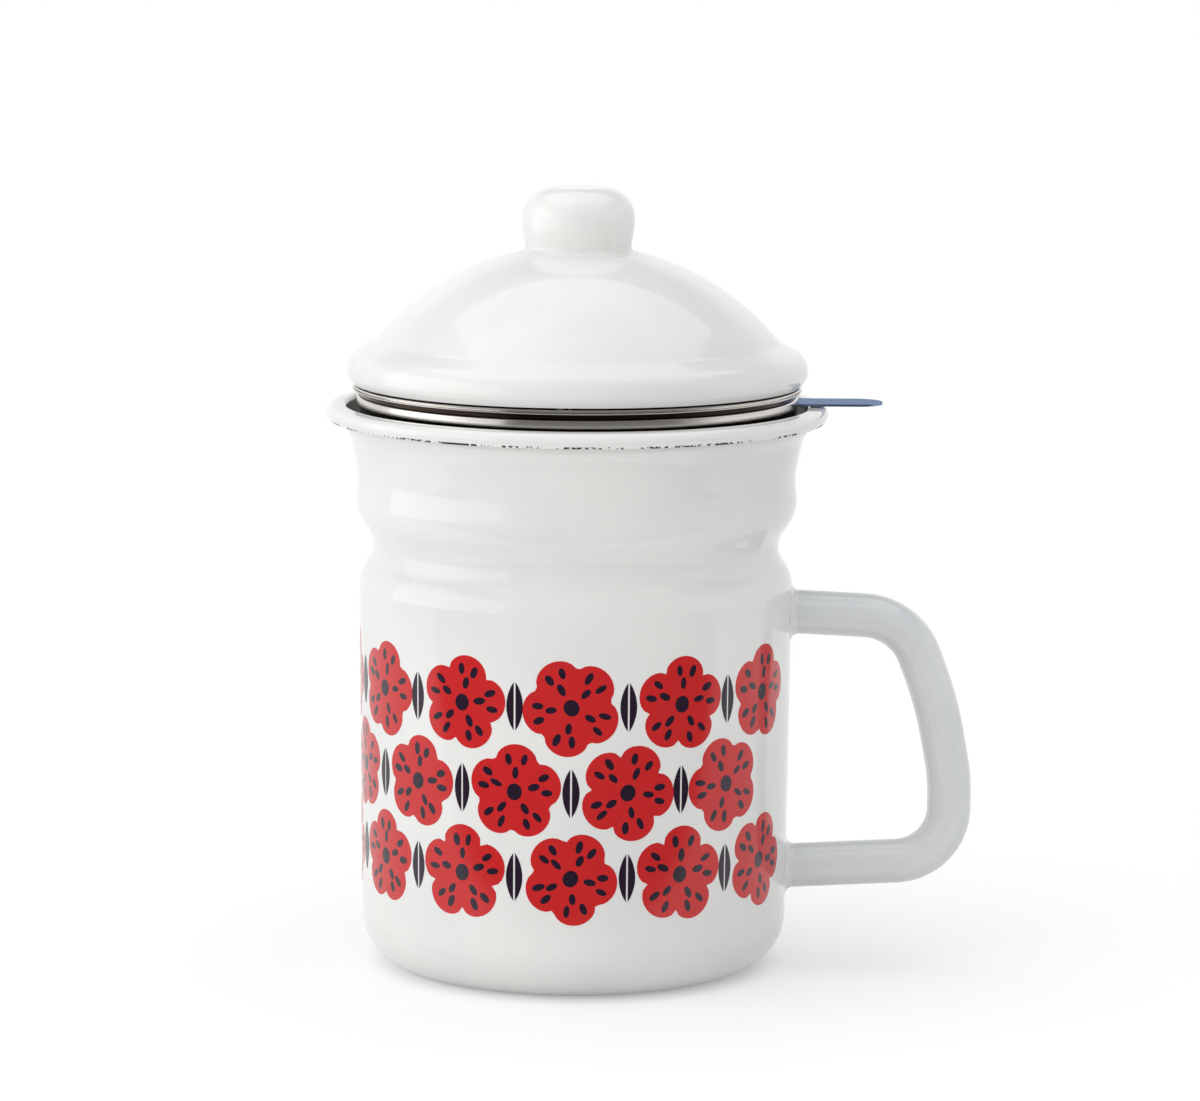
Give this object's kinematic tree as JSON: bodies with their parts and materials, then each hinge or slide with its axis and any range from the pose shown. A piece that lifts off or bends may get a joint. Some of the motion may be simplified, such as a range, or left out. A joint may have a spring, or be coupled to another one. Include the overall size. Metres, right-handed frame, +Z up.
{
  "type": "grease pot with strainer",
  "caption": "Enamelled cylindrical grease pot with a waist groove, rolled rim and side loop handle, a drop-in steel strainer with a lifting tab, and a domed lid with a knob.",
  "frame": {"origin": "centre of the pot's flat foot, on the surface that it stands on", "axes": "+Z up along the pot's axis, +X out through the handle and the strainer's tab, +Y to the rear, square to the handle's middle plane"},
  "size_m": [0.1776, 0.137, 0.2134],
  "materials": {
    "enamel": "glossy white porcelain enamel on steel",
    "stainless": "spun and lightly polished stainless steel",
    "mesh": "plain woven stainless wire cloth",
    "print_red": "red fired decal under gloss",
    "print_navy": "dark navy fired decal under gloss"
  },
  "bodies": {
    "pot": {"pot_floor": "enamel", "pot_body": "enamel", "pot_neck": "enamel", "pot_rim": "enamel", "handle_front_half": "enamel", "handle_rear_half": "enamel", "handle_weld_lower": "enamel", "handle_weld_upper": "enamel"},
    "strainer": {"strainer_frame": "stainless", "strainer_mesh": "mesh", "mesh_clamp_ring": "stainless", "strainer_tab": "stainless"},
    "lid": {"lid_shell": "enamel", "lid_knob": "enamel"}
  },
  "joints": [
    {"name": "strainer_lift", "type": "slide", "parent": "pot", "child": "strainer", "axis": [0, 0, 1], "range_m": [0, 0.06]},
    {"name": "lid_lift", "type": "slide", "parent": "strainer", "child": "lid", "axis": [0, 0, 1], "range_m": [0, 0.06]}
  ]
}
